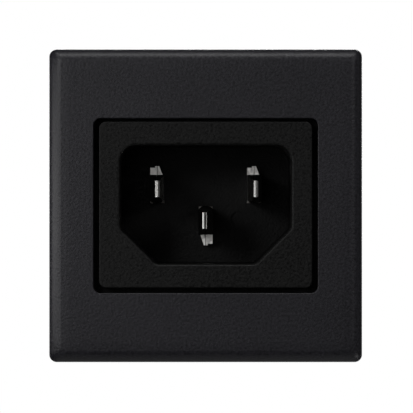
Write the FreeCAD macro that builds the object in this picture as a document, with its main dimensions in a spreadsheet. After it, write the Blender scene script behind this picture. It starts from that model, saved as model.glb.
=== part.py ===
import FreeCAD, Part
import math
import os

import Sketcher
from FreeCAD import Vector

# A C14 appliance inlet snapped into a square plate of the 45 mm module system.
# The front of the plate looks along -Y and +Z is up. The origin is the centre of the plane in which the rear rim
# of the plate rests on its mounting panel, so everything behind that panel has a positive Y.
doc = FreeCAD.newDocument("inlet_plate")
sheet = doc.addObject("Spreadsheet::Sheet", "Sizes")

# Lengths are in millimetres and angles in degrees.
SIZES = {
    # Plate: a drafted square cap, open behind, with rolled front edges.
    "module_pitch": 45.0,
    "module_gap": 0.3,
    "plate_depth": 7.0,
    "plate_draft": 1.0,
    "plate_corner": 1.15,
    "plate_edge": 1.7,
    "face_corner": 0.25,
    "front_wall": 2.0,
    "skirt_wall": 1.5,
    # Window of the plate: a pocket round the inlet's flange, with a web behind it that the inlet snaps over.
    "window_gap_side": 0.8,
    "window_gap_top": 0.6,
    "window_corner": 1.0,
    "window_edge": 0.12,
    "collar_wall": 1.5,
    "web_thickness": 1.5,
    "web_corner": 1.5,
    # Panel that the plate clips into, and the clip arms and tongues that go through its opening.
    "panel_opening": 41.0,
    "panel_thickness": 2.0,
    "panel_play": 0.2,
    "clip_gap": 0.4,
    "clip_bite": 0.8,
    "clip_width": 7.0,
    "clip_thickness": 1.3,
    "clip_spacing": 22.0,
    "clip_lead": 4.6,
    "clip_root": 0.5,
    "clip_fillet": 0.3,
    "hook_nose": 0.15,
    "tongue_width": 10.0,
    "tongue_reach": 3.0,
    "tongue_lead": 0.6,
    "rib_thickness": 1.0,
    "rib_height": 3.4,
    "rib_spacing": 18.0,
    # Inlet housing: flange, shell round the pin chamber, and floor.
    "flange_width": 30.1,
    "flange_height": 23.5,
    "flange_depth": 2.5,
    "flange_corner": 1.0,
    "flange_edge": 0.18,
    "flange_recess": 0.2,
    "inlet_rise": 0.15,
    "chamber_width": 24.3,
    "chamber_height": 16.9,
    "chamber_depth": 18.0,
    "chamber_corner": 2.4,
    "chamber_cut": 5.1,
    "chamber_blend": 1.2,
    "chamber_draft": 0.4,
    "mouth_edge": 0.3,
    "shell_wall_side": 1.25,
    "shell_wall_top": 1.45,
    "shell_gap": 0.2,
    "floor_thickness": 3.5,
    "rear_edge": 0.5,
    "gate_mark": 2.3,
    "gate_mark_depth": 0.3,
    "gate_mark_across": 4.8,
    "gate_mark_drop": 2.1,
    # Snap wings in the two side walls of the housing, and the barriers between its tabs.
    "wing_width": 8.0,
    "wing_length": 11.0,
    "wing_slot": 0.8,
    "wing_relief": 0.5,
    "wing_thickness": 0.7,
    "wing_bite": 0.9,
    "wing_play": 0.1,
    "wing_nose": 1.0,
    "barrier_height": 4.0,
    "barrier_length": 12.0,
    "barrier_thickness": 1.0,
    "barrier_spacing": 7.6,
    "barrier_edge": 0.3,
    # Contacts: each a strip folded double into a pin, with a heel on the chamber floor and a single-layer tab behind.
    "pin_width": 4.0,
    "pin_thickness": 2.0,
    "pin_pitch": 14.0,
    "pin_offset": 2.25,
    "live_tip_depth": 4.0,
    "earth_tip_depth": 3.0,
    "tip_length": 1.6,
    "tip_flat_width": 2.3,
    "tip_flat_thickness": 0.6,
    "tip_shift": 0.14,
    "fold_radius": 0.65,
    "fold_seam": 0.08,
    "live_heel": 1.32,
    "earth_heel": 1.6,
    "heel_height": 2.0,
    "heel_step": 0.22,
    "heel_taper": 0.5,
    "heel_split": 0.3,
    "heel_notch": 0.22,
    "shank_depth": 2.5,
    "slot_gap": 0.05,
    "tab_width": 4.8,
    "tab_thickness": 0.8,
    "tab_inset": 0.1,
    "tab_reach": 7.6,
    "tab_taper": 0.9,
    "tab_bevel": 0.22,
    "tab_hole": 1.4,
    "tab_hole_inset": 3.2,
    "lance_width": 1.6,
    "lance_length": 2.2,
    "lance_lift": 0.6,
    "lance_thickness": 0.5,
}
for row, (alias, size) in enumerate(SIZES.items(), 1):
    sheet.set(f"A{row}", alias)
    sheet.set(f"B{row}", str(size))
    sheet.setAlias(f"B{row}", alias)
doc.recompute()


def bound(formula):
    """Writes a formula of size names as one that reads the cells of the sheet."""
    words = formula.replace("(", "( ").replace(")", " )").split()
    return " ".join(f"Sizes.{word}" if word in SIZES else word for word in words)


def new_body(name, across="0", back="0", up="0", turn=0.0):
    """Starts a piece whose own origin lies at the given place, turned about the depth axis."""
    body = doc.addObject("PartDesign::Body", name)
    body.Label = name
    body.Placement.Rotation = FreeCAD.Rotation(Vector(0, 1, 0), turn)
    body.setExpression("Placement.Base.x", bound(across))
    body.setExpression("Placement.Base.y", bound(back))
    body.setExpression("Placement.Base.z", bound(up))
    return body


def new_sketch(body, name, role, offset="0"):
    """Attaches a sketch to one of the body's origin planes, moved along that plane's normal."""
    sketch = body.newObject("Sketcher::SketchObject", name)
    plane = next(item for item in body.Origin.OriginFeatures if item.Role == role)
    sketch.AttachmentSupport = [(plane, "")]
    sketch.MapMode = "FlatFace"
    sketch.setExpression("AttachmentOffset.Base.z", bound(offset))
    return sketch


def hold(sketch, kind, geometry, point, formula):
    """Fixes one coordinate of a sketch point, measured from the sketch's origin."""
    drawn = sketch.getPoint(geometry, point)
    start = drawn.x if kind == "DistanceX" else drawn.y
    index = sketch.addConstraint(Sketcher.Constraint(kind, -1, 1, geometry, point, start))
    name = f"held_{index}"
    sketch.renameConstraint(index, name)
    sketch.setExpression(f"Constraints.{name}", bound(formula))


def outline(sketch, *corners):
    """Closes a straight-edged outline through corners that are given as two formulas each."""
    first = sketch.GeometryCount
    count = len(corners)
    ring = [2.0 * math.pi * step / count for step in range(count + 1)]
    points = [Vector(9.0 * math.cos(turn), 9.0 * math.sin(turn), 0) for turn in ring]
    for start, end in zip(points, points[1:]):
        sketch.addGeometry(Part.LineSegment(start, end))
    for step, (across, up) in enumerate(corners):
        before = first + (step - 1) % count
        sketch.addConstraint(Sketcher.Constraint("Coincident", before, 2, first + step, 1))
        hold(sketch, "DistanceX", first + step, 1, across)
        hold(sketch, "DistanceY", first + step, 1, up)


def rectangle(sketch, left, right, low, high):
    """Closes a rectangle between four coordinates."""
    outline(sketch, (left, low), (right, low), (right, high), (left, high))


def centred_rectangle(sketch, width, height):
    """Closes a rectangle about the sketch's origin."""
    rectangle(sketch, f"-( {width} ) / 2", f"( {width} ) / 2", f"-( {height} ) / 2", f"( {height} ) / 2")


def rounded_square(sketch, half, corner):
    """Closes a square with arcs for corners about the sketch's origin, from formulas of its half width and radius."""
    straight = f"( {half} - {corner} )"
    first = sketch.GeometryCount
    ways = [(1, 0), (0, 1), (-1, 0), (0, -1)]
    for quarter, (c, s) in enumerate(ways):
        side, along, turn = Vector(c, s, 0), Vector(-s, c, 0), 0.5 * math.pi * quarter
        sketch.addGeometry(Part.LineSegment(side * 9.0 - along * 8.0, side * 9.0 + along * 8.0))
        bend = Part.Circle(side * 8.0 + along * 8.0, Vector(0, 0, 1), 1.0)
        sketch.addGeometry(Part.ArcOfCircle(bend, turn, turn + 0.5 * math.pi))
    for quarter, (c, s) in enumerate(ways):
        line, bend, after = (first + (2 * quarter + step) % 8 for step in range(3))
        sketch.addConstraint(Sketcher.Constraint("Coincident", line, 2, bend, 1))
        sketch.addConstraint(Sketcher.Constraint("Coincident", bend, 2, after, 1))
        for end, sign in ((1, -1), (2, 1)):
            hold(sketch, "DistanceX", line, end, f"{c} * {half} + {-s * sign} * {straight}")
            hold(sketch, "DistanceY", line, end, f"{s} * {half} + {c * sign} * {straight}")
        hold(sketch, "DistanceX", bend, 3, f"{c - s} * {straight}")


def circle(sketch, diameter, across, up):
    """Draws a circle about a point that is given as two formulas."""
    index = sketch.addGeometry(Part.Circle(Vector(0, 0, 0), Vector(0, 0, 1), 1.0))
    width = sketch.addConstraint(Sketcher.Constraint("Diameter", index, 1.0))
    sketch.renameConstraint(width, "diameter")
    sketch.setExpression("Constraints.diameter", bound(diameter))
    hold(sketch, "DistanceX", index, 3, across)
    hold(sketch, "DistanceY", index, 3, up)


def shape_feature(body, kind, name, sketch, length, backward, symmetric, taper):
    """Adds a Pad or a Pocket of the sketch and computes it."""
    feature = body.newObject(kind, name)
    feature.Profile = sketch
    feature.SideType = "Symmetric" if symmetric else "One side"
    feature.Reversed = backward
    feature.setExpression("Length", bound(length))
    if taper:
        feature.setExpression("TaperAngle", bound(taper))
    doc.recompute()
    return feature


def pad(body, name, sketch, length, backward=False, symmetric=False, taper=None):
    """Adds material along the sketch's normal, or against it when backward."""
    return shape_feature(body, "PartDesign::Pad", name, sketch, length, backward, symmetric, taper)


def pocket(body, name, sketch, length, forward=False, symmetric=False, taper=None):
    """Takes material away against the sketch's normal, or along it when forward, and makes sure that it did."""
    before = body.Tip.Shape.Volume
    feature = shape_feature(body, "PartDesign::Pocket", name, sketch, length, forward, symmetric, taper)
    if feature.Shape.Volume > before - 1e-6:
        raise RuntimeError(f"{name} cuts nothing")
    return feature


def dress(body, kind, name, size_name, size, wanted):
    """Rounds or bevels those edges of the body that the test accepts by their middle and direction."""
    base = body.Tip
    chosen = []
    for number, edge in enumerate(base.Shape.Edges, 1):
        ends = (edge.FirstParameter, edge.LastParameter)
        middle = edge.valueAt(sum(ends) / 2)
        direction = edge.valueAt(ends[1]) - edge.valueAt(ends[0])
        if wanted(middle, direction):
            chosen.append(f"Edge{number}")
    if not chosen:
        raise RuntimeError(f"{name} finds no edge")
    feature = body.newObject(kind, name)
    feature.Base = (base, chosen)
    feature.setExpression(size_name, bound(size))
    doc.recompute()
    return feature


def fillet(body, name, radius, wanted):
    """Rounds the accepted edges."""
    return dress(body, "PartDesign::Fillet", name, "Radius", radius, wanted)


def chamfer(body, name, size, wanted):
    """Bevels the accepted edges."""
    return dress(body, "PartDesign::Chamfer", name, "Size", size, wanted)


def along_depth(direction):
    """True for an edge that runs front to back, draft included."""
    return abs(direction.y) > 0.9 * direction.Length and direction.Length > 0.2


def near(value, target, reach=0.02):
    """True when two lengths agree."""
    return abs(value - target) < reach


# Front plate: one moulding. The cap is a drafted block hollowed from behind, so that a skirt stands round a flat
# front wall, and the end of the skirt is the rim that rests on the panel.
PLATE_SIDE = "( module_pitch - 2 * module_gap )"
WINDOW_WIDTH = "( flange_width + 2 * window_gap_side )"
WINDOW_HEIGHT = "( flange_height + 2 * window_gap_top )"
WINDOW_DEPTH = "( flange_recess + flange_depth )"
SHELL_WIDTH = "( chamber_width + 2 * shell_wall_side )"
SHELL_HEIGHT = "( chamber_height + 2 * shell_wall_top )"
plate = new_body("front_plate")
block = new_sketch(plate, "BlockOutline", "XZ_Plane")
rounded_square(block, f"( {PLATE_SIDE} / 2 )", "plate_corner")
pad(plate, "Block", block, "plate_depth - plate_edge", taper="-1 * plate_draft")
front = -sheet.plate_depth

# Its front edges roll over in a quarter round, while the round of its corners tightens towards the face.
DRAWN_IN = "( ( plate_depth - plate_edge ) * tan( plate_draft * 1 deg ) )"
sections = []
for turn in (math.radians(90 - 11.25 * step) for step in range(9)):
    lean, rise = f"{1 - math.sin(turn):.6f}", f"{math.cos(turn):.6f}"
    section = new_sketch(plate, f"RollSection{len(sections)}", "XZ_Plane",
                         f"plate_depth - plate_edge + {rise} * plate_edge")
    rounded_square(section, f"( {PLATE_SIDE} / 2 - {DRAWN_IN} - {lean} * plate_edge )",
                   f"( ( 1 - {lean} ) * ( plate_corner - {DRAWN_IN} ) + {lean} * face_corner )")
    sections.append(section)
roll = plate.newObject("PartDesign::AdditiveLoft", "FrontRoll")
roll.Profile = sections[0]
roll.Sections = sections[1:]
doc.recompute()
hollow = new_sketch(plate, "HollowOutline", "XZ_Plane")
centred_rectangle(hollow, f"{PLATE_SIDE} - 2 * skirt_wall", f"{PLATE_SIDE} - 2 * skirt_wall")
pocket(plate, "Hollow", hollow, "plate_depth - front_wall", forward=True)

# The collar stands behind the front wall round the window, and its rear is the web that the inlet snaps over.
WALL_REAR = "plate_depth - front_wall"
collar = new_sketch(plate, "CollarOutline", "XZ_Plane", WALL_REAR)
centred_rectangle(collar, f"{WINDOW_WIDTH} + 2 * collar_wall", f"{WINDOW_HEIGHT} + 2 * collar_wall")
pad(plate, "Collar", collar, f"{WINDOW_DEPTH} + web_thickness - front_wall", backward=True)
fillet(plate, "CollarCorners", "window_corner + collar_wall", lambda middle, way: along_depth(way)
       and abs(middle.x) < sheet.flange_width and near(middle.y, -sheet.plate_depth + sheet.front_wall, 2.0)
       and abs(middle.z) < 0.7 * sheet.flange_height)

# Stiffening ribs tie the collar to the skirt.
ribs = new_sketch(plate, "RibOutlines", "XZ_Plane", WALL_REAR)
COLLAR_SIDE = f"{WINDOW_WIDTH} / 2 + collar_wall"
COLLAR_TOP = f"{WINDOW_HEIGHT} / 2 + collar_wall"
SKIRT_INNER = f"{PLATE_SIDE} / 2 - skirt_wall"
for sign in ("", "-1 * "):
    rectangle(ribs, "-1 * rib_thickness / 2", "rib_thickness / 2",
              f"{sign}( {COLLAR_TOP} )", f"{sign}( {SKIRT_INNER} )")
    for end in ("", "-1 * "):
        rectangle(ribs, f"{sign}( {COLLAR_SIDE} )", f"{sign}( {SKIRT_INNER} )",
                  f"{end}rib_spacing / 2 - rib_thickness / 2", f"{end}rib_spacing / 2 + rib_thickness / 2")
pad(plate, "Ribs", ribs, "rib_height", backward=True)

# The window is sunk from the front, and the web is cut out for the inlet's shell.
window = new_sketch(plate, "WindowOutline", "XZ_Plane", "plate_depth")
centred_rectangle(window, WINDOW_WIDTH, WINDOW_HEIGHT)
pocket(plate, "Window", window, WINDOW_DEPTH)
window_floor = -sheet.plate_depth + sheet.flange_recess + sheet.flange_depth
fillet(plate, "WindowCorners", "window_corner", lambda middle, way: along_depth(way)
       and middle.y < window_floor - 0.5 and abs(middle.z) < 0.6 * sheet.flange_height)
fillet(plate, "WindowRim", "window_edge", lambda middle, way: near(middle.y, front)
       and abs(middle.z) < 0.6 * sheet.flange_height and abs(middle.x) < 0.6 * sheet.flange_width)
cutout = new_sketch(plate, "CutoutOutline", "XZ_Plane", f"plate_depth - {WINDOW_DEPTH}")
centred_rectangle(cutout, f"{SHELL_WIDTH} + 2 * shell_gap", f"{SHELL_HEIGHT} + 2 * shell_gap")
pocket(plate, "Cutout", cutout, "2 * web_thickness")
fillet(plate, "CutoutCorners", "web_corner", lambda middle, way: along_depth(way)
       and middle.y > window_floor and abs(middle.x) < 0.5 * sheet.flange_width
       and abs(middle.z) < 0.5 * sheet.flange_height)

# Four clip arms grow from the front wall, pass through the panel's opening and hook behind it.
ARM_OUT = "( panel_opening / 2 - clip_gap )"
ARM_IN = f"( {ARM_OUT} - clip_thickness )"
HOOK = "( panel_opening / 2 + clip_bite )"
GRIP = "( panel_thickness + panel_play )"
arms = new_sketch(plate, "ArmProfiles", "YZ_Plane", "clip_spacing / 2")
for sign in ("", "-1 * "):
    outline(arms,
            (f"-1 * ( {WALL_REAR} ) - clip_root", f"{sign}{ARM_IN}"),
            (f"{GRIP} + clip_lead", f"{sign}{ARM_IN}"),
            (f"{GRIP} + clip_lead", f"{sign}( {ARM_OUT} - clip_gap )"),
            (f"{GRIP} + clip_gap", f"{sign}{HOOK}"),
            (GRIP, f"{sign}{HOOK}"),
            (GRIP, f"{sign}{ARM_OUT}"),
            (f"-1 * ( {WALL_REAR} ) - clip_root", f"{sign}{ARM_OUT}"))
arm_pad = pad(plate, "Arms", arms, "clip_width", symmetric=True)
mirror = plate.newObject("PartDesign::Mirrored", "ArmsMirrored")
mirror.Originals = [arm_pad]
mirror.MirrorPlane = (next(item for item in plate.Origin.OriginFeatures if item.Role == "YZ_Plane"), [""])
plate.Tip = mirror
doc.recompute()
arm_out = sheet.panel_opening / 2 - sheet.clip_gap
fillet(plate, "ArmRoots", "clip_fillet", lambda middle, way: near(abs(way.x), way.Length)
       and near(middle.y, -sheet.plate_depth + sheet.front_wall) and near(abs(middle.z), arm_out - sheet.clip_thickness))
fillet(plate, "HookNoses", "hook_nose", lambda middle, way: near(abs(way.x), way.Length)
       and near(abs(middle.z), sheet.panel_opening / 2 + sheet.clip_bite))

# Two stiff tongues locate the plate sideways in the opening.
tongues = new_sketch(plate, "TongueOutlines", "XZ_Plane", f"{WALL_REAR} + clip_root")
for sign in ("", "-1 * "):
    rectangle(tongues, f"{sign}{ARM_IN}", f"{sign}{ARM_OUT}", "-1 * tongue_width / 2", "tongue_width / 2")
pad(plate, "Tongues", tongues, f"{WALL_REAR} + clip_root + tongue_reach", backward=True)
chamfer(plate, "TongueLeads", "tongue_lead", lambda middle, way: near(middle.y, sheet.tongue_reach)
        and abs(middle.x) > arm_out - 0.1 and abs(way.z) > 1.0)

# Inlet housing: one moulding, placed by the rear of its flange, which rests on the web of the plate.
INLET_BACK = f"-1 * plate_depth + {WINDOW_DEPTH}"
inlet = new_body("inlet_housing", back=INLET_BACK, up="inlet_rise")
flange = new_sketch(inlet, "FlangeOutline", "XZ_Plane")
centred_rectangle(flange, "flange_width", "flange_height")
pad(inlet, "Flange", flange, "flange_depth")
fillet(inlet, "FlangeCorners", "flange_corner", lambda middle, way: along_depth(way))
fillet(inlet, "FlangeRim", "flange_edge", lambda middle, way: near(middle.y, -sheet.flange_depth))


def keyed_outline(sketch, width, height, cut):
    """Closes the outline of the inlet: a rectangle whose two lower corners are cut off."""
    side = f"( {width} ) / 2"
    top = f"( {height} ) / 2"
    outline(sketch,
            (f"-1 * {side}", top), (f"-1 * {side}", f"-1 * {top} + {cut}"), (f"-1 * {side} + {cut}", f"-1 * {top}"),
            (f"{side} - {cut}", f"-1 * {top}"), (side, f"-1 * {top} + {cut}"), (side, top))


# The shell follows the chamber outside, and its floor closes the rear.
shell = new_sketch(inlet, "ShellOutline", "XZ_Plane")
keyed_outline(shell, SHELL_WIDTH, SHELL_HEIGHT, "( chamber_cut + 0.6 * shell_wall_top )")
pad(inlet, "Shell", shell, "chamber_depth - flange_depth + floor_thickness", backward=True)
fillet(inlet, "ShellTop", "chamber_corner + 0.6 * shell_wall_side", lambda middle, way: along_depth(way)
       and middle.y > 0 and middle.z > 0)
fillet(inlet, "ShellBlends", "chamber_blend + shell_wall_side", lambda middle, way: along_depth(way)
       and middle.y > 0 and middle.z < 0)
chamber = new_sketch(inlet, "ChamberOutline", "XZ_Plane", "flange_depth")
keyed_outline(chamber, "chamber_width", "chamber_height", "chamber_cut")
pocket(inlet, "Chamber", chamber, "chamber_depth", taper="-1 * chamber_draft")


def in_chamber(middle):
    """True for a point on the chamber's walls."""
    inside = abs(middle.x) < sheet.chamber_width / 2 + 0.1 and abs(middle.z) < sheet.chamber_height / 2 + 0.1
    return inside and middle.y < sheet.chamber_depth - sheet.flange_depth + 0.1


fillet(inlet, "ChamberTop", "chamber_corner", lambda middle, way: along_depth(way)
       and in_chamber(middle) and middle.z > 0)
fillet(inlet, "ChamberBlends", "chamber_blend", lambda middle, way: along_depth(way)
       and in_chamber(middle) and middle.z < 0)
fillet(inlet, "Mouth", "mouth_edge", lambda middle, way: near(middle.y, -sheet.flange_depth) and in_chamber(middle))

# Each side wall is thinned behind a snap wing: a leaf that is rooted towards the rear, splays outward and ends in
# a catch behind the web.
CATCH = "( web_thickness + wing_play )"
WING_ROOT = f"( {CATCH} + wing_length )"
WING_TIP = f"( {SHELL_WIDTH} / 2 + shell_gap + wing_bite )"
relief = new_sketch(inlet, "WingReliefs", "XY_Plane")
for sign in ("", "-1 * "):
    rectangle(relief, f"{sign}( {SHELL_WIDTH} / 2 - wing_relief )", f"{sign}{WING_TIP}", "0", WING_ROOT)
pocket(inlet, "Reliefs", relief, "wing_width + 2 * wing_slot", symmetric=True)
wings = new_sketch(inlet, "WingProfiles", "XY_Plane")
for sign in ("", "-1 * "):
    outline(wings,
            (f"{sign}( {SHELL_WIDTH} / 2 - wing_relief )", f"{WING_ROOT} + wing_relief"),
            (f"{sign}( {WING_TIP} - wing_thickness )", CATCH), (f"{sign}{WING_TIP}", CATCH),
            (f"{sign}{WING_TIP}", f"{CATCH} + wing_nose"), (f"{sign}{SHELL_WIDTH} / 2", WING_ROOT),
            (f"{sign}{SHELL_WIDTH} / 2", f"{WING_ROOT} + wing_relief"))
pad(inlet, "Wings", wings, "wing_width", symmetric=True)

# Behind, the rear edge of the shell is rounded, and two barriers keep the tabs apart.
FLOOR = "( chamber_depth - flange_depth )"
rear = sheet.chamber_depth - sheet.flange_depth + sheet.floor_thickness
fillet(inlet, "RearEdge", "rear_edge", lambda middle, way: near(middle.y, rear))
barriers = new_sketch(inlet, "BarrierOutlines", "XZ_Plane", f"-1 * {FLOOR} - floor_thickness")
for sign in ("", "-1 * "):
    rectangle(barriers, f"{sign}barrier_spacing / 2 - barrier_thickness / 2",
              f"{sign}barrier_spacing / 2 + barrier_thickness / 2", "-1 * barrier_length / 2", "barrier_length / 2")
pad(inlet, "Barriers", barriers, "barrier_height", backward=True)
fillet(inlet, "BarrierEdges", "barrier_edge", lambda middle, way: near(middle.y, rear + sheet.barrier_height))

# In the floor, three blind pockets hold the shanks of the contacts, and a slot goes on from each for its tab. The
# slots are hidden behind the pins and heels. A shallow dimple marks where the plastic was injected.
shanks = new_sketch(inlet, "ShankOutlines", "XZ_Plane", f"-1 * {FLOOR}")
slots = new_sketch(inlet, "SlotOutlines", "XZ_Plane", f"-1 * {FLOOR}")
SHANK_SIDE = "( pin_thickness / 2 + slot_gap )"
SHANK_TOP = "( pin_width / 2 + slot_gap )"
TAB_FACE = "( tab_inset - pin_thickness / 2 )"
TAB_LOW = "( tab_inset - pin_width / 2 )"
for across, up, turned in (("-1 * pin_pitch / 2", "pin_offset", "+"), ("pin_pitch / 2", "pin_offset", "+"),
                           ("0", "-1 * pin_offset", "-")):
    rectangle(shanks, f"{across} - {SHANK_SIDE}", f"{across} + {SHANK_SIDE}",
              f"{up} - {SHANK_TOP}", f"{up} + {SHANK_TOP}")
    rectangle(slots, f"{across} {turned} ( {TAB_FACE} - slot_gap )",
              f"{across} {turned} ( {TAB_FACE} + tab_thickness + slot_gap )",
              f"{up} {turned} ( {TAB_LOW} - slot_gap )", f"{up} {turned} ( {TAB_LOW} + tab_width + slot_gap )")
pocket(inlet, "ShankPockets", shanks, "shank_depth + slot_gap")
pocket(inlet, "Slots", slots, "2 * floor_thickness")
gate = new_sketch(inlet, "GateMark", "XZ_Plane", f"-1 * {FLOOR}")
circle(gate, "gate_mark", "gate_mark_across", "-1 * gate_mark_drop")
pocket(inlet, "GateDimple", gate, "gate_mark_depth")


def contact(name, across, up, turn, tip_depth, heel):
    """Builds one contact about its pin's axis, from the chamber floor, with the heel on the upper side."""
    body = new_body(name, across, f"{INLET_BACK} + {FLOOR}", f"inlet_rise + {up}", turn)
    tip = f"( chamber_depth - {tip_depth} )"
    half = "pin_width / 2"
    top = f"( {half} + {heel} )"
    strip = new_sketch(body, f"{name}_strip", "YZ_Plane")
    outline(strip,
            (f"-1 * {tip}", f"-1 * {half}"), (f"-1 * {tip}", half), ("-1 * heel_height", half),
            ("-1 * heel_height", top), ("0", top), ("0", f"-1 * {half}"))
    pad(body, f"{name}_layers", strip, "pin_thickness", symmetric=True)
    fillet(body, f"{name}_fold", "fold_radius", lambda middle, way: along_depth(way)
           and near(middle.z, -sheet.pin_width / 2))

    # The heel is what the shears left: one layer ends in a slant, and the other is a little shorter.
    side = "pin_thickness / 2"
    trim = new_sketch(body, f"{name}_trim", "XZ_Plane")
    outline(trim,
            (f"{side} - heel_step", half), (f"{side} - heel_step - heel_taper", top),
            ("pin_thickness", top), ("pin_thickness", half))
    rectangle(trim, "-1 * pin_thickness", "-1 * heel_split", f"{top} - heel_notch", f"{top} + heel_notch")
    pocket(body, f"{name}_heel", trim, "heel_height", forward=True)

    # The tip is coined to a narrow flat, first across its thickness, a little off the middle, and then across its
    # width.
    beyond = f"-1 * {tip} - tip_length"
    for role, wide, flat, shift, cut_name in (("XY_Plane", "pin_thickness", "tip_flat_thickness", "tip_shift", "flanks"),
                                              ("YZ_Plane", "pin_width", "tip_flat_width", "0", "ends")):
        coin = new_sketch(body, f"{name}_{cut_name}", role)
        for sign in ("", "-1 * "):
            corners = [(f"-1 * {tip} + tip_length", f"{sign}{wide} / 2"), (f"-1 * {tip}", f"{sign}{flat} / 2 + {shift}"),
                       (beyond, f"{sign}{flat} / 2 + {shift}"), (beyond, f"{sign}{wide}"),
                       (f"-1 * {tip} + tip_length", f"{sign}{wide}")]
            if role == "XY_Plane":
                corners = [(across_it, depth) for depth, across_it in corners]
            outline(coin, *corners)
        pocket(body, f"{name}_{cut_name}_cut", coin, "3 * pin_width", symmetric=True)

    # In the floor the fold is pressed square, and the shank fills its pocket.
    shank = new_sketch(body, f"{name}_shank", "XZ_Plane")
    centred_rectangle(shank, "pin_thickness", "pin_width")
    pad(body, f"{name}_square", shank, "shank_depth", backward=True)

    # The two layers meet in a seam that is open on the heel's side and closed at the fold.
    seam = new_sketch(body, f"{name}_seam", "XZ_Plane")
    rectangle(seam, "-1 * fold_seam / 2", "fold_seam / 2", f"-1 * {half} + {side}", f"{half} + 2 * {heel}")
    pocket(body, f"{name}_seam_cut", seam, f"3 * {tip}", symmetric=True)

    # One layer goes on through the floor as a push-on tab with a detent hole, pressed thinner than the pin's layers.
    end = "( floor_thickness + tab_reach )"
    tab_high = f"( {TAB_LOW} + tab_width )"
    tab_middle = f"( {TAB_LOW} + tab_width / 2 )"
    tab = new_sketch(body, f"{name}_tab", "YZ_Plane", f"{TAB_FACE} + tab_thickness / 2")
    outline(tab,
            ("0", TAB_LOW), (f"{end} - tab_taper", TAB_LOW), (end, f"{TAB_LOW} + tab_taper"),
            (end, f"{tab_high} - tab_taper"), (f"{end} - tab_taper", tab_high), ("0", tab_high))
    pad(body, f"{name}_blade", tab, "tab_thickness", symmetric=True)
    chamfer(body, f"{name}_bevel", "tab_bevel", lambda middle, way: near(abs(way.z), way.Length)
            and near(middle.y, sheet.floor_thickness + sheet.tab_reach))
    hole = new_sketch(body, f"{name}_hole", "YZ_Plane")
    circle(hole, "tab_hole", f"{end} - tab_hole_inset", tab_middle)
    pocket(body, f"{name}_detent", hole, "3 * pin_width", symmetric=True)

    # A lance is pressed out of the tab, and its free end stands behind the floor and keeps the contact in.
    start = "( floor_thickness + slot_gap )"
    opening = new_sketch(body, f"{name}_lance_opening", "YZ_Plane")
    rectangle(opening, start, f"{start} + lance_length", f"{tab_middle} - lance_width / 2", f"{tab_middle} + lance_width / 2")
    pocket(body, f"{name}_lance_cut", opening, "3 * pin_width", symmetric=True)
    lance = new_sketch(body, f"{name}_lance", "XY_Plane", tab_middle)
    root = f"{start} + lance_length + slot_gap"
    outline(lance,
            (TAB_FACE, root), (f"{TAB_FACE} - lance_lift", start), (f"{TAB_FACE} - lance_lift + lance_thickness", start),
            (f"{TAB_FACE} + lance_thickness", root))
    pad(body, f"{name}_tongue", lance, "lance_width - 2 * slot_gap", symmetric=True)
    return body


# Line and neutral stand side by side with their heels up. The longer earth pin stands lower, turned half round.
pieces = [
    plate,
    inlet,
    contact("line_contact", "-1 * pin_pitch / 2", "pin_offset", 0.0, "live_tip_depth", "live_heel"),
    contact("neutral_contact", "pin_pitch / 2", "pin_offset", 0.0, "live_tip_depth", "live_heel"),
    contact("earth_contact", "0", "-1 * pin_offset", 180.0, "earth_tip_depth", "earth_heel"),
]
doc.recompute()

failed = [item.Name for item in doc.Objects if {"Invalid", "Error"} & set(item.State)]
for piece in pieces:
    if piece.Shape.isNull() or not piece.Shape.isValid() or len(piece.Shape.Solids) != 1:
        failed.append(piece.Label)
if failed:
    raise RuntimeError("not built: " + ", ".join(failed))
os.makedirs("parts", exist_ok=True)
for piece in pieces:
    piece.Shape.exportStep(f"parts/{piece.Label}.step")
    box = piece.Shape.BoundBox
    print(piece.Label, f"{piece.Shape.Volume:.1f}", f"{box.XMin:.2f} {box.XMax:.2f}", f"{box.YMin:.2f} {box.YMax:.2f}",
          f"{box.ZMin:.2f} {box.ZMax:.2f}")
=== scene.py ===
import math

import bpy
import numpy as np
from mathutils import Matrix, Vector


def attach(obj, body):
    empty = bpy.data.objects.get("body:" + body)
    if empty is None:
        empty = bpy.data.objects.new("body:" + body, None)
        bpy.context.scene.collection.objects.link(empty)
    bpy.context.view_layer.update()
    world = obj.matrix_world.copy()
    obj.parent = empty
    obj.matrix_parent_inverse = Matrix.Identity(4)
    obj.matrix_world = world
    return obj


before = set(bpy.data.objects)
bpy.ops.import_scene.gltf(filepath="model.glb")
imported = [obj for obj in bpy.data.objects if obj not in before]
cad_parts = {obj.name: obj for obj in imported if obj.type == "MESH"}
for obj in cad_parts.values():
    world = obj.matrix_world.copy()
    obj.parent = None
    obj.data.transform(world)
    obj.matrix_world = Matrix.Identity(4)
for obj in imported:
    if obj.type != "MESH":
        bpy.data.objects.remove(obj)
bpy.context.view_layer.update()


# Inlet housing: one black moulding of glass-filled polyester, with its flange, pin chamber and snap wings.
# The tool's surface is spark-eroded, so the plastic has a fine matte grain all over, and it snaps into the plate
# from the front.
def feed(tree, source, slot):
    """Gives a slot its value: a link where the source is another node's socket, else the plain value itself."""
    if isinstance(source, bpy.types.NodeSocket):
        tree.links.new(source, slot)
    else:
        slot.default_value = source


def add_node(tree, kind, slots=(), **settings):
    """One shader node: its settings first, and then what feeds each of its slots, by name or by number."""
    node = tree.nodes.new(kind)
    for setting, value in settings.items():
        setattr(node, setting, value)
    for slot, source in dict(slots).items():
        feed(tree, source, node.inputs[slot])
    return node


def work_out(tree, operation, *terms):
    """One step of arithmetic in a shader, on sockets or plain numbers."""
    return add_node(tree, "ShaderNodeMath", enumerate(terms), operation=operation).outputs[0]


def noise(tree, place, scale, detail):
    """Smooth noise from 0 to 1 over a place, with so many lumps to a metre and finer ones added by the detail."""
    return add_node(tree, "ShaderNodeTexNoise", {"Vector": place, "Scale": scale, "Detail": detail}).outputs["Fac"]


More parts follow.
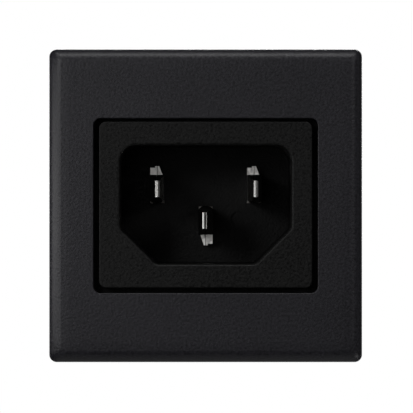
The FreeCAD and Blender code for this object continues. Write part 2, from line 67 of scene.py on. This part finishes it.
def ramp(tree, value, low, high, first=0.0, last=1.0, shape="LINEAR"):
    """Carries a value from the range low to high over to first to last, and holds it at the ends."""
    slots = {"Value": value, "From Min": low, "From Max": high, "To Min": first, "To Max": last}
    return add_node(tree, "ShaderNodeMapRange", slots, interpolation_type=shape).outputs["Result"]


def blend(tree, kind, factor, first, second):
    """Two colours (RGBA) or two numbers (FLOAT), mixed by a factor from 0 to 1."""
    slots = {"Factor": factor, "A": first, "B": second}
    return add_node(tree, "ShaderNodeMix", slots, data_type=kind).outputs["Result"]


def moulded_grain_group():
    """Spark-eroded grain on Object coordinates, built from a fine noise, round pits and a broad drift.

    Height is the noise plus a share of the way to the nearest pit's middle. The noise, sharpened to specks, and the
    drift add up to one tone, which picks the colour between shade and lift and the roughness between the two glosses.
    """
    pit_share, speck_low, speck_high, speck_share = 0.5, 0.3, 0.7, 0.65
    fine_detail, drift_scale, drift_detail, drift_share = 1.0, 90.0, 3.0, 0.35
    group = bpy.data.node_groups.new("moulded_grain", "ShaderNodeTree")
    number, paint = "NodeSocketFloat", "NodeSocketColor"
    for name, way, kind in (("Pit size", "INPUT", number), ("Shade", "INPUT", paint), ("Lift", "INPUT", paint),
                            ("Gloss low", "INPUT", number), ("Gloss high", "INPUT", number),
                            ("Colour", "OUTPUT", paint), ("Roughness", "OUTPUT", number),
                            ("Height", "OUTPUT", number)):
        group.interface.new_socket(name, in_out=way, socket_type=kind)
    given = add_node(group, "NodeGroupInput").outputs
    place = add_node(group, "ShaderNodeTexCoord").outputs["Object"]
    rate = work_out(group, "DIVIDE", 1.0, given["Pit size"])
    fine = noise(group, place, rate, fine_detail)
    pits = add_node(group, "ShaderNodeTexVoronoi", {"Vector": place, "Scale": rate}).outputs["Distance"]
    drift = noise(group, place, drift_scale, drift_detail)
    specks = work_out(group, "MULTIPLY", ramp(group, fine, speck_low, speck_high), speck_share)
    tone = work_out(group, "MULTIPLY_ADD", drift, drift_share, specks)
    add_node(group, "NodeGroupOutput", {
        "Colour": blend(group, "RGBA", tone, given["Shade"], given["Lift"]),
        "Roughness": ramp(group, tone, 0.0, 1.0, given["Gloss low"], given["Gloss high"]),
        "Height": work_out(group, "MULTIPLY_ADD", pits, pit_share, fine)})
    return group


moulded_grain = moulded_grain_group()


def new_finish(name):
    """A material, its node tree, and the one shader in it."""
    material = bpy.data.materials.new(name)
    material.use_nodes = True
    return material, material.node_tree, material.node_tree.nodes["Principled BSDF"]


def moulded_plastic(name, shade, lift, sheen, pit_size, pit_depth, gloss_low, gloss_high):
    """A matte moulding: the grain's colour, roughness and height on one dielectric shader of the given sheen."""
    pit_strength = 0.6
    material, tree, shader = new_finish(name)
    shader.inputs["Specular IOR Level"].default_value = sheen
    grain = add_node(tree, "ShaderNodeGroup", {
        "Pit size": pit_size, "Shade": (*shade, 1.0), "Lift": (*lift, 1.0),
        "Gloss low": gloss_low, "Gloss high": gloss_high}, node_tree=moulded_grain).outputs
    bump = add_node(tree, "ShaderNodeBump", {
        "Strength": pit_strength, "Distance": pit_depth, "Height": grain["Height"]})
    feed(tree, grain["Colour"], shader.inputs["Base Color"])
    feed(tree, grain["Roughness"], shader.inputs["Roughness"])
    feed(tree, bump.outputs["Normal"], shader.inputs["Normal"])
    return material


def dress(node, finish):
    """Gives a CAD node its finish in place of the plain one it comes with."""
    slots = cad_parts[node].data.materials
    slots.clear()
    slots.append(finish)


inlet_black = moulded_plastic("inlet_black", shade=(0.0, 0.0, 0.0), lift=(0.0060, 0.0060, 0.0059), sheen=0.11,
                              pit_size=0.00036, pit_depth=0.00005, gloss_low=0.28, gloss_high=0.72)
dress("inlet_housing", inlet_black)


# Earth mark: the earth sign, raised on the housing's rear face below the earth contact's tab.
# It is one piece with the housing: a round-nosed cutter sinks it into the mould, so every stroke comes out as a low
# ridge with round ends.
def mesh_object(name, vertices, faces, finish):
    """A mesh of the given points and faces with one finish, placed in the scene at the origin."""
    mesh = bpy.data.meshes.new(name)
    mesh.from_pydata(vertices.tolist(), [], faces)
    mesh.materials.append(finish)
    made = bpy.data.objects.new(name, mesh)
    bpy.context.scene.collection.objects.link(made)
    return made


def closed_shells(name, rings, poles, finish):
    """Closed shells in one mesh: each is a row of rings joined by quads, with a fan to a pole at either end."""
    count, rows, around, _ = rings.shape
    each = rows * around + 2
    vertices = np.concatenate([rings.reshape(count, rows * around, 3), poles], axis=1).reshape(-1, 3)
    first, step = np.arange(count)[:, None] * each, np.arange(around)
    after, last = (step + 1) % around, first + (rows - 1) * around
    row = first[:, None] + np.arange(rows - 1)[None, :, None] * around
    walls = np.stack([row + step, row + after, row + around + after, row + around + step], axis=-1)
    near = np.stack([first + each - 2 + 0 * step, first + after, first + step], axis=-1)
    far = np.stack([first + each - 1 + 0 * step, last + step, last + after], axis=-1)
    faces = walls.reshape(-1, 4).tolist() + near.reshape(-1, 3).tolist() + far.reshape(-1, 3).tolist()
    piece = mesh_object(name, vertices, faces, finish)
    piece.data.polygons.foreach_set("use_smooth", np.ones(len(faces), bool))
    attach(piece, "root")


def raised_strokes(name, strokes, middle, face, half_width, rise):
    """Each stroke is an ellipse carried along a straight run and shrunk to a point over a quarter circle at each end.

    Strokes are drawn as seen from behind, so their run across is turned round about the middle.
    """
    steepest, end_rings, around = 75.0, 6, 16
    start, end = np.array(strokes)[:, 0], np.array(strokes)[:, 1]
    length = np.linalg.norm(end - start, axis=1)
    along = (end - start) / length[:, None]
    beside = np.stack([-along[:, 1], along[:, 0]], axis=1)
    bend = np.radians(np.linspace(-steepest, 0.0, end_rings))
    bend = np.concatenate([bend, -bend[::-1]])
    turn = np.linspace(0.0, 2.0 * np.pi, around, endpoint=False)
    travel = half_width * np.sin(bend) + length[:, None] * (np.arange(2 * end_rings) >= end_rings)
    spine = start[:, None, None] + along[:, None, None] * travel[..., None, None]
    skin = spine + beside[:, None, None] * (half_width * np.outer(np.cos(bend), np.cos(turn)))[None, ..., None]
    height = np.broadcast_to(rise * np.outer(np.cos(bend), np.sin(turn)), skin.shape[:-1])
    rings = np.stack([middle[0] - skin[..., 0], face + height, middle[1] + skin[..., 1]], axis=-1)
    tips = np.stack([start - along * half_width, end + along * half_width], axis=1)
    poles = np.stack([middle[0] - tips[..., 0], np.full(tips.shape[:2], face), middle[1] + tips[..., 1]], axis=-1)
    closed_shells(name, rings, poles, inlet_black)


earth_stem = [(0.0, 0.0011), (0.0, 0.0001)]
earth_bars = [[(-reach, level), (reach, level)]
              for reach, level in ((0.0010, 0.0001), (0.0006, -0.0005), (0.0002, -0.0011))]
raised_strokes("earth_mark", [earth_stem, *earth_bars], middle=(0.0005, -0.0071), face=0.0147,
               half_width=0.00017, rise=0.0002)


# Contacts: line, neutral and earth, each stamped from brass strip, folded double into a flat pin and nickel-plated.
# Coining smooths the pins and rounds their tips over, and the tabs behind keep the strip's duller mill finish with its
# rolling lines. The heel that sits on the chamber floor shows the broken face that the stamping press left; its band
# about the middle height, beside the pins, is painted near-black as shade.
def object_place(tree):
    """The place on the object, whole and as its three parts."""
    place = add_node(tree, "ShaderNodeTexCoord").outputs["Object"]
    return place, add_node(tree, "ShaderNodeSeparateXYZ", {"Vector": place}).outputs


def nickel_plate(pin_step, tip_half, upper_shift, lower_shift, heel_middle, heel_half, root_shade_half):
    """Nickel: noise drawn out along the strip, a round crown over each pin's tip, coarse noise on the heels, and
    painted shade on their middle band.

    A crown falls with the square of the way across from its own middle line, which lies off the pin's middle plane by
    one shift on the upper pins and by another on the lower one. Its heights are in micrometres. Each roughness is a
    spread times a noise plus the least value.
    """
    bright, dull, painted_root_shade = (0.76, 0.75, 0.73, 1.0), (0.56, 0.55, 0.53, 1.0), (0.10, 0.095, 0.09, 1.0)
    line_scales, line_detail = (9000.0, 350.0, 9000.0), 3.0
    patch_scale, break_scale, coarse_detail = 700.0, 1500.0, 4.0
    coined_rough, mill_rough, broken_rough = (0.10, 0.12), (0.20, 0.32), (0.36, 0.18)
    crown_fall, crown_end, break_height, micrometre = 22.0, 1.3, 75.0, 0.000001
    material, tree, shader = new_finish("nickel_plate")
    shader.inputs["Metallic"].default_value = 1.0
    place, parts = object_place(tree)
    drawn_out = add_node(tree, "ShaderNodeMapping", {"Vector": place, "Scale": line_scales}).outputs["Vector"]
    lines = noise(tree, drawn_out, 1.0, line_detail)
    patches = noise(tree, place, patch_scale, coarse_detail)
    breaks = noise(tree, place, break_scale, coarse_detail)

    on_heel = work_out(tree, "COMPARE", parts["Y"], heel_middle, heel_half)
    # Painted shade: within a band about the middle height the heels' colour turns near-black, where the pins shade
    # them.
    root_shade_mask = work_out(tree, "MULTIPLY", on_heel, work_out(tree, "COMPARE", parts["Z"], 0.0, root_shade_half))
    on_tab = work_out(tree, "GREATER_THAN", parts["Y"], heel_middle + heel_half)
    tarnish = blend(tree, "RGBA", patches, bright, dull)
    feed(tree, blend(tree, "RGBA", root_shade_mask, tarnish, painted_root_shade), shader.inputs["Base Color"])

    coined = work_out(tree, "MULTIPLY_ADD", lines, *coined_rough)
    mill = work_out(tree, "MULTIPLY_ADD", lines, *mill_rough)
    broken = work_out(tree, "MULTIPLY_ADD", breaks, *broken_rough)
    strip = blend(tree, "FLOAT", on_tab, coined, mill)
    feed(tree, blend(tree, "FLOAT", on_heel, strip, broken), shader.inputs["Roughness"])

    row = work_out(tree, "SIGN", parts["Z"])
    shift = work_out(tree, "MULTIPLY_ADD", row, (upper_shift - lower_shift) / 2, (upper_shift + lower_shift) / 2)
    across = work_out(tree, "WRAP", work_out(tree, "SUBTRACT", parts["X"], shift), pin_step / 2, -pin_step / 2)
    off = work_out(tree, "DIVIDE", across, tip_half)
    crown = work_out(tree, "MINIMUM", work_out(tree, "MULTIPLY", off, off), crown_end)
    round_tip = work_out(tree, "MULTIPLY_ADD", crown, -crown_fall, lines)
    height = blend(tree, "FLOAT", on_heel, round_tip, work_out(tree, "MULTIPLY", breaks, break_height))
    bump = add_node(tree, "ShaderNodeBump", {"Strength": 1.0, "Distance": micrometre, "Height": height})
    feed(tree, bump.outputs["Normal"], shader.inputs["Normal"])
    return material


contact_nickel = nickel_plate(pin_step=0.007, tip_half=0.0003, upper_shift=0.00014, lower_shift=-0.00026,
                              heel_middle=0.0102, heel_half=0.0011, root_shade_half=0.0012)
for contact in ("line_contact", "neutral_contact", "earth_contact"):
    dress(contact, contact_nickel)


# Front plate: the square cap of the module, moulded in graphite-black ABS blend with rolled edges and a soft rim.
# Its spark-eroded grain is shallower than the inlet's, and the moat sunk round the inlet is rougher than the face,
# with painted shade darkening its colour. Its clip arms and ribs behind are part of the same moulding.
plate_shade, plate_lift, plate_sheen = (0.0018, 0.0016, 0.0027), (0.0107, 0.0103, 0.0136), 0.25
plate_graphite = moulded_plastic("plate_graphite", plate_shade, plate_lift, plate_sheen,
                                 pit_size=0.00035, pit_depth=0.00004, gloss_low=0.37, gloss_high=0.51)


def painted_shade_moat(material, half_across, half_upward, front, back, shade, roughness):
    """Rougher plastic between two depths and inside a rectangle about the depth axis, its colour darkened as painted
    shade: a step on each bound.
    """
    tree = material.node_tree
    shader = tree.nodes["Principled BSDF"]
    _, parts = object_place(tree)
    inside = [work_out(tree, "COMPARE", parts[axis], (low + high) / 2, (high - low) / 2)
              for axis, low, high in (("X", -half_across, half_across), ("Z", -half_upward, half_upward),
                                      ("Y", front, back))]
    painted_shade_mask = work_out(tree, "MULTIPLY", work_out(tree, "MULTIPLY", inside[0], inside[1]), inside[2])
    for slot, kind, end in (("Base Color", "RGBA", (*shade, 1.0)), ("Roughness", "FLOAT", roughness)):
        plain = shader.inputs[slot].links[0].from_socket
        feed(tree, blend(tree, kind, painted_shade_mask, plain, end), shader.inputs[slot])


def soft_shoulders(material, start, end, fall):
    """Shading height: an S-shaped fall from the flat of the face out to the rim, across and upward alike."""
    tree = material.node_tree
    grain_bump = tree.nodes["Principled BSDF"].inputs["Normal"].links[0].from_node
    _, parts = object_place(tree)
    falls = [ramp(tree, work_out(tree, "ABSOLUTE", parts[axis]), start, end, last=-fall, shape="SMOOTHSTEP")
             for axis in ("X", "Z")]
    height = work_out(tree, "ADD", *falls)
    shoulder = add_node(tree, "ShaderNodeBump", {"Strength": 1.0, "Distance": 1.0, "Height": height})
    feed(tree, shoulder.outputs["Normal"], grain_bump.inputs["Normal"])


# Painted shade: the moat's darker colour stands in for the shade in the sunk gap round the inlet; its higher roughness
# is the plastic's own.
painted_shade_moat(plate_graphite, half_across=0.0160, half_upward=0.0125, front=-0.0066, back=-0.0040,
           shade=(0.0008, 0.0008, 0.0009), roughness=0.95)
soft_shoulders(plate_graphite, start=0.0190, end=0.0223, fall=0.0001)
dress("front_plate", plate_graphite)


# Ejector marks: round spots, a hair proud of the wall behind the plate's face and part of the same moulding.
# The pins that push the plate out of its mould leave them; the pins' ends are ground, so the spots are smoother and
# finer in grain than the plastic round them.
pin_face = moulded_plastic("pin_face", plate_shade, plate_lift, plate_sheen,
                           pit_size=0.00012, pit_depth=0.00001, gloss_low=0.36, gloss_high=0.44)


def ejector_spots(name, across, upward, face, radius, rise):
    """Flat pads: a superellipse of the given radius and rise, turned once about the depth axis at each place."""
    steepest, rows, around, power = 80.0, 17, 40, 0.25
    tilt = np.radians(np.linspace(-steepest, steepest, rows))
    turn = np.linspace(0.0, 2.0 * np.pi, around, endpoint=False)
    reach = radius * np.cos(tilt) ** power
    height = rise * np.sign(tilt) * np.abs(np.sin(tilt)) ** power
    rings = np.stack([across[:, None, None] + np.outer(reach, np.sin(turn)),
                      np.broadcast_to(face + height[:, None], (len(across), rows, around)),
                      upward[:, None, None] + np.outer(reach, np.cos(turn))], axis=-1)
    ends = [np.stack([across, np.full(len(across), face + end), upward], axis=1) for end in (-rise, rise)]
    closed_shells(name, rings, np.stack(ends, axis=1), pin_face)


spot_columns, spot_rows = [-0.0176, -0.0045, 0.0045, 0.0176], [0.0163, -0.0163]
ejector_spots("ejector_marks", np.tile(spot_columns, len(spot_rows)), np.repeat(spot_rows, len(spot_columns)),
              face=-0.0050, radius=0.00125, rise=0.00008)


# Studio: a pale round floor well below the held part and white all round for the camera. A long lamp close on the left
# lights the rolled edge, a broad one overhead the top, two windows the chamber, and weaker ones lift the face, the
# right side and its lower corner, the underside and the back.
def pale_floor(radius, height):
    """A flat disc: rings of growing radius swept once round the upright axis. Its edge fades out in an S shape."""
    around, count, fade_from, fade_full = 64, 8, 0.4, 0.98
    pale, roughness = (0.82, 0.82, 0.82, 1.0), 0.9
    turn = np.linspace(0.0, 2.0 * np.pi, around, endpoint=False)
    reach = np.linspace(0.0, radius, count + 1)[1:]
    rings = np.stack([np.outer(reach, np.cos(turn)), np.outer(reach, np.sin(turn)),
                      np.full((count, around), height)], axis=-1)
    vertices = np.concatenate([[[0.0, 0.0, height]], rings.reshape(-1, 3)])
    step = np.arange(around)
    after = (step + 1) % around
    inner = np.stack([0 * step, 1 + step, 1 + after], axis=1)
    row = np.arange(count - 1)[:, None] * around + 1
    outer = np.stack([row + step, row + around + step, row + around + after, row + after], axis=-1).reshape(-1, 4)

    material, tree, shader = new_finish("pale_floor")
    shader.inputs["Base Color"].default_value = pale
    shader.inputs["Roughness"].default_value = roughness
    place = add_node(tree, "ShaderNodeTexCoord").outputs["Object"]
    away = add_node(tree, "ShaderNodeVectorMath", {0: place}, operation="LENGTH").outputs["Value"]
    fade = ramp(tree, away, fade_from * radius, fade_full * radius, shape="SMOOTHSTEP")
    clear = add_node(tree, "ShaderNodeBsdfTransparent").outputs["BSDF"]
    edge = add_node(tree, "ShaderNodeMixShader", {"Fac": fade, 1: shader.outputs["BSDF"], 2: clear}).outputs["Shader"]
    feed(tree, edge, tree.nodes["Material Output"].inputs["Surface"])
    return mesh_object("pale_floor", vertices, inner.tolist() + outer.tolist(), material)


floor = pale_floor(radius=0.45, height=-0.28)


def white_surround(ambient, white_from, white_full):
    """World light: even grey for lighting, white for the camera, and white behind the object for shiny surfaces."""
    grey, white = (ambient, ambient, ambient, 1.0), (1.0, 1.0, 1.0, 1.0)
    world = bpy.data.worlds.new("white_surround")
    bpy.context.scene.world = world
    world.use_nodes = True
    tree = world.node_tree
    ray = add_node(tree, "ShaderNodeLightPath").outputs
    way = add_node(tree, "ShaderNodeTexCoord").outputs["Generated"]
    depth = add_node(tree, "ShaderNodeSeparateXYZ", {"Vector": way}).outputs["Y"]
    behind = ramp(tree, depth, white_from, white_full)
    shiny = work_out(tree, "MAXIMUM", ray["Is Glossy Ray"], ray["Is Transmission Ray"])
    seen = work_out(tree, "MAXIMUM", ray["Is Camera Ray"], work_out(tree, "MULTIPLY", shiny, behind))
    feed(tree, blend(tree, "RGBA", seen, grey, white), tree.nodes["Background"].inputs["Color"])


white_surround(ambient=0.05, white_from=0.80, white_full=0.97)


def soft_lamp(name, place, size, power):
    """A rectangular area lamp, its size given across and upward, aimed at the middle of the plate."""
    lamp = bpy.data.lights.new(name, "AREA")
    lamp.shape = "RECTANGLE"
    lamp.size, lamp.size_y = size
    lamp.energy = power
    holder = bpy.data.objects.new(name, lamp)
    holder.location = place
    holder.rotation_euler = (-Vector(place)).to_track_quat("-Z", "Y").to_euler()
    bpy.context.scene.collection.objects.link(holder)


# Each lamp's name, its place and its size in metres, and its power in watts.
for name, place, size, watts in (("left_lamp", (-0.074, -0.030, 0.000), (0.07, 0.035), 0.031),
                                 ("face_lamp", (-0.052, -0.090, 0.000), (0.03, 0.035), 0.0056),
                                 ("top_lamp", (0.0, -0.154, 0.423), (0.50, 0.12), 1.72),
                                 ("window_lamp", (-0.23, -0.42, 0.13), (0.12, 0.12), 0.75),
                                 ("right_window", (0.30, -0.42, 0.15), (0.12, 0.12), 0.43),
                                 ("corner_lamp", (0.11, -0.03, -0.10), (0.05, 0.05), 0.034),
                                 ("side_lamp", (0.45, -0.02, 0.08), (0.20, 0.20), 0.06),
                                 ("low_lamp", (0.0, -0.12, -0.25), (0.30, 0.18), 0.025),
                                 ("front_panel", (-0.09, -0.70, 0.03), (0.14, 0.16), 0.11),
                                 ("back_lamp", (0.0, 0.52, 0.10), (0.30, 0.20), 2.2)):
    soft_lamp(name, place, size, watts)

# The camera looks straight on: 650 mm from the plate's face, the frame takes in 58.25 mm.
sensor_width, face_distance, frame_width = 36.0, 650.0, 58.25
camera = bpy.data.objects.new("photo_camera", bpy.data.cameras.new("photo_camera"))
camera.data.lens = sensor_width * face_distance / frame_width
camera.location = (0.00012, -0.657, -0.000106)
camera.rotation_euler = (math.radians(90.0), 0.0, 0.0)
bpy.context.scene.collection.objects.link(camera)
bpy.context.scene.camera = camera
bpy.context.scene.view_settings.view_transform = "Standard"
